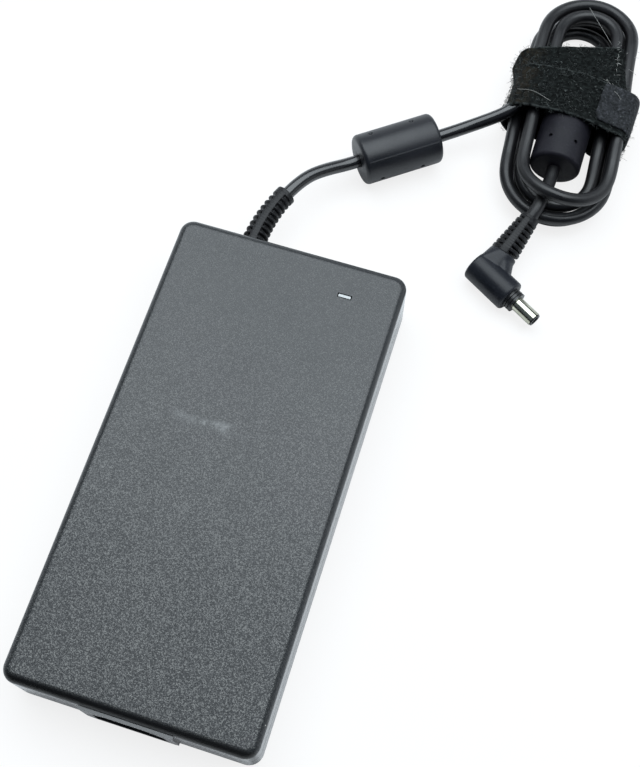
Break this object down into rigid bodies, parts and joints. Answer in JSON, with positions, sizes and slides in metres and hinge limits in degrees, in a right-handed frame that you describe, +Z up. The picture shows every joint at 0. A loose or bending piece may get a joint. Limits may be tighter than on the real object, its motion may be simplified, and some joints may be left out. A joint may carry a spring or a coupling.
{
  "type": "laptop power adapter",
  "caption": "Flat moulded power adapter with a mains inlet at one end and a low-voltage cord with ferrite beads, a strapped hank and a barrel plug at the other.",
  "frame": {"origin": "under the middle of the housing, on the surface it rests on", "axes": "+Y along the housing towards the end where the output cord leaves, +Z up, +X to the right seen from the inlet end"},
  "size_m": [0.1516, 0.3233, 0.027],
  "materials": {
    "shell_plastic": "fine-grained matt dark grey",
    "inlet_plastic": "smooth gloss black",
    "light_window": "clear grey, satin",
    "lamp_body": "white",
    "tinned_metal": "tinned, dull",
    "plated_barrel": "bright nickel plate",
    "circuit_board": "green lacquer",
    "fuse_tube": "glazed tube with tin caps",
    "yellow_case": "yellow box case",
    "blue_disc": "blue dipped disc",
    "ferrite": "dull ferrite",
    "copper_winding": "enamelled copper wire",
    "taped_winding": "yellow tape over wire",
    "capacitor_sleeve": "shrunk sleeve",
    "black_package": "moulded package",
    "heat_sink_metal": "mill finish",
    "insulating_film": "thin film",
    "pad_rubber": "soft grey pad",
    "wire_cover": "insulated wire",
    "cord_rubber": "smooth satin black",
    "bead_plastic": "satin dark grey",
    "strap_fabric": "fuzzy black loop tape"
  },
  "bodies": {
    "root": {"top_cover": "shell_plastic", "bottom_cover": "shell_plastic", "led_light_pipe": "light_window", "status_led": "lamp_body", "inlet_housing": "inlet_plastic", "inlet_pin_line": "tinned_metal", "inlet_pin_neutral": "tinned_metal", "inlet_pin_earth": "tinned_metal", "inlet_wires": "wire_cover", "main_board": "circuit_board", "mains_fuse": "fuse_tube", "x_capacitor": "yellow_case", "y_capacitors": "blue_disc", "common_mode_choke_core": "ferrite", "common_mode_choke_windings": "copper_winding", "bridge_rectifier": "black_package", "pfc_choke_core": "ferrite", "pfc_choke_winding": "copper_winding", "bulk_capacitors": "capacitor_sleeve", "primary_heat_sink": "heat_sink_metal", "primary_transistors": "black_package", "transformer_core": "ferrite", "transformer_winding": "taped_winding", "secondary_heat_sink": "heat_sink_metal", "output_rectifiers": "black_package", "output_capacitors": "capacitor_sleeve", "control_board": "circuit_board", "optocouplers": "black_package", "insulating_sheet": "insulating_film", "lower_shield": "tinned_metal", "upper_shield": "tinned_metal", "thermal_pads": "pad_rubber", "output_wires": "wire_cover", "cord_strain_relief": "cord_rubber", "cord_entry": "cord_rubber", "dc_cord_lead": "cord_rubber", "ferrite_core_1": "ferrite", "bead_overmould_1": "bead_plastic", "dc_cord_hank": "cord_rubber", "ferrite_core_2": "ferrite", "bead_overmould_2": "bead_plastic", "dc_cord_tail": "cord_rubber", "strap_band": "strap_fabric", "strap_end_tab": "strap_fabric", "plug_strain_relief": "cord_rubber", "plug_body": "bead_plastic", "plug_collar": "inlet_plastic", "barrel_sleeve": "plated_barrel", "barrel_insulator": "inlet_plastic", "centre_contact": "tinned_metal"}
  },
  "joints": []
}
